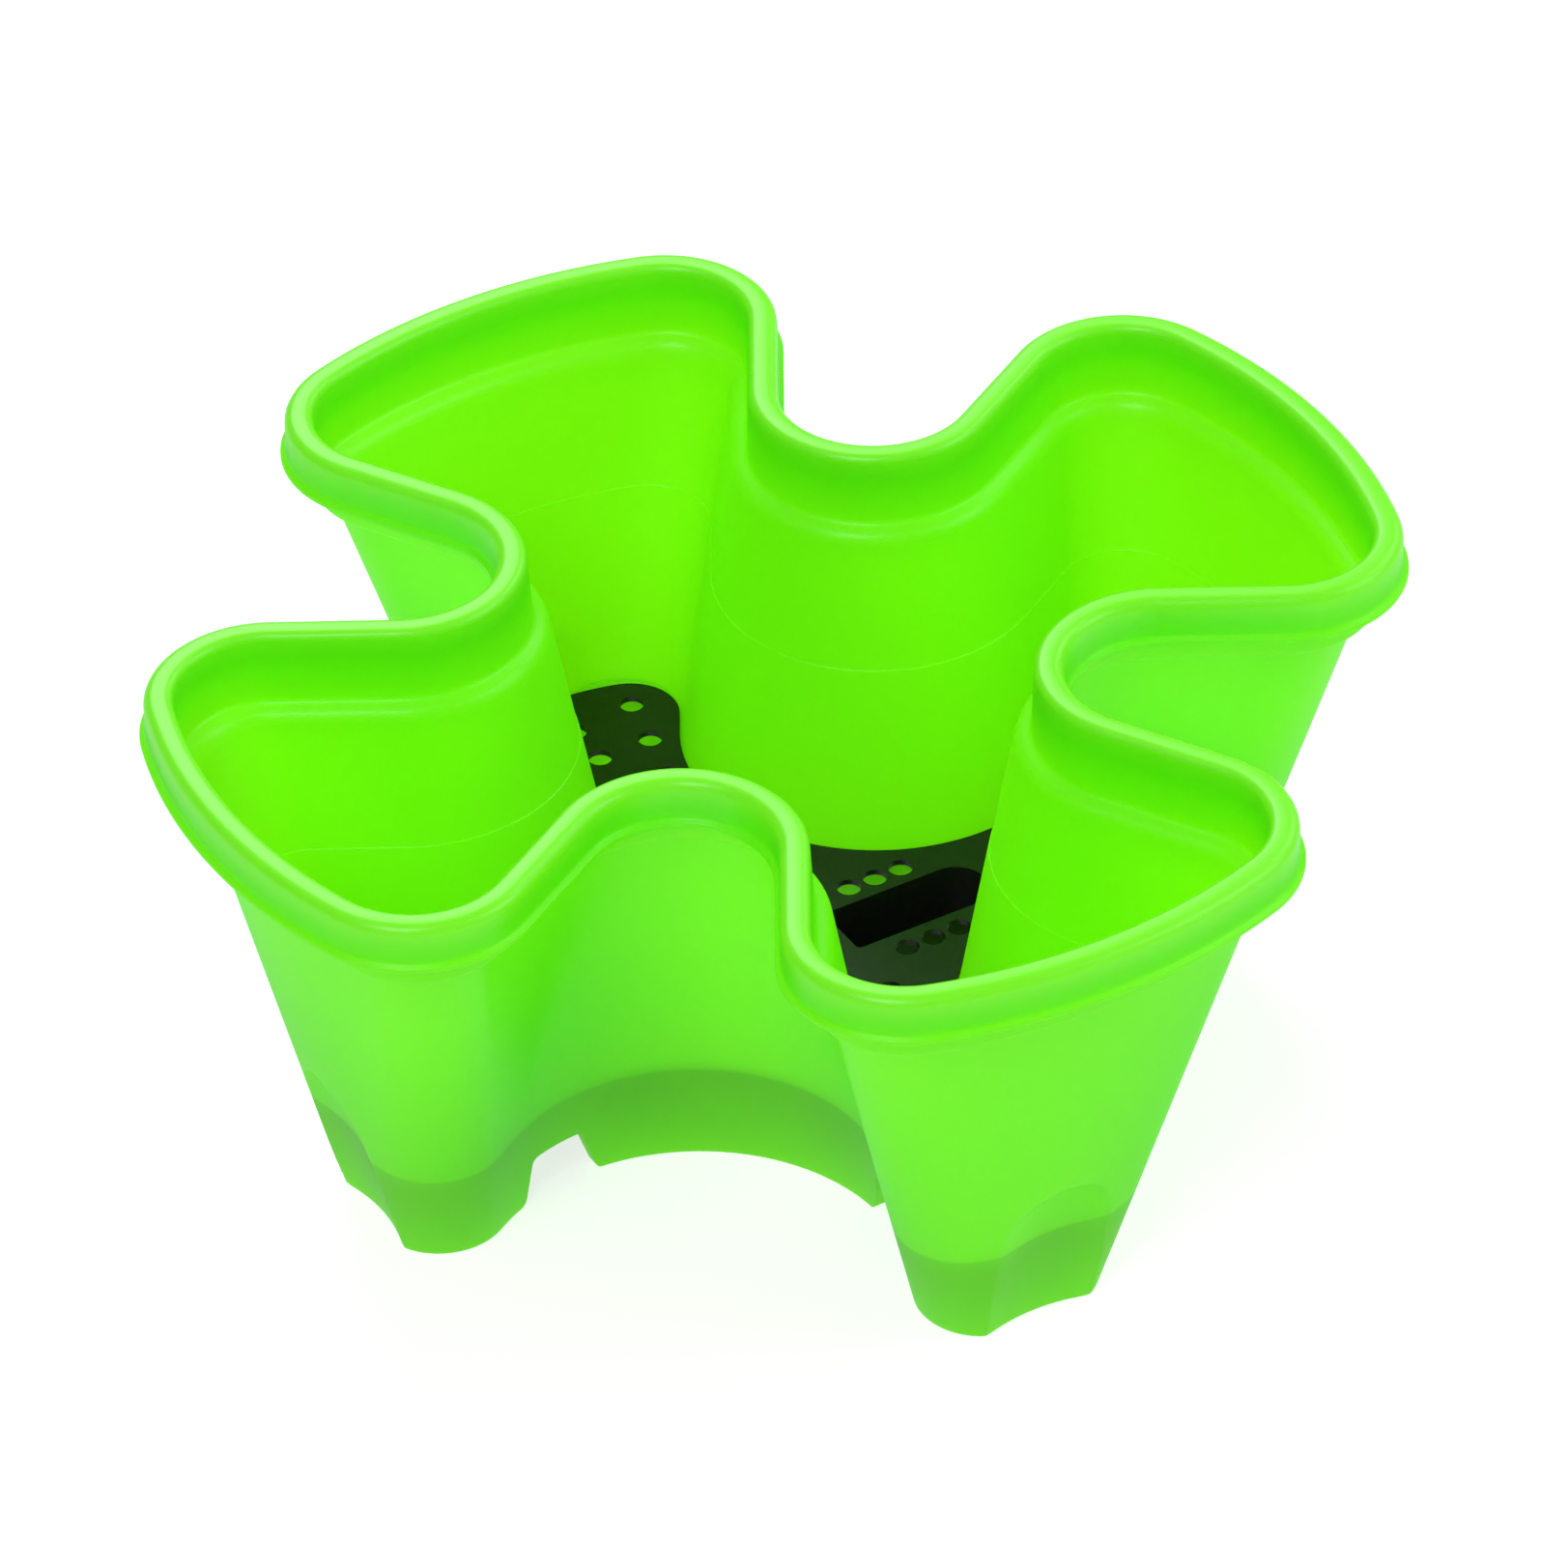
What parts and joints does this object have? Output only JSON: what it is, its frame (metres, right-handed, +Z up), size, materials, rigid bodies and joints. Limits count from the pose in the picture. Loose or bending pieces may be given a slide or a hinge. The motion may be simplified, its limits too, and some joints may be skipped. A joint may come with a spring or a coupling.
{
  "type": "stacking planter tier",
  "caption": "Lobed stacking plant pot tier with a rolled rim, notched skirt and a perforated drain plate that lifts out.",
  "frame": {"origin": "on the floor, at the middle of the four lobes", "axes": "+Z up; +X, +Y, -X and -Y each along a lobe"},
  "size_m": [0.42, 0.42, 0.185],
  "materials": {
    "shell": "glossy lime-green moulded plastic, slightly translucent",
    "plate": "satin black moulded plastic"
  },
  "bodies": {
    "pot": {"planter_shell": "shell"},
    "plate": {"drain_plate": "plate"}
  },
  "joints": [
    {"name": "plate_lift", "type": "slide", "parent": "pot", "child": "plate", "axis": [0, 0, 1], "range_m": [0, 0.2]}
  ]
}
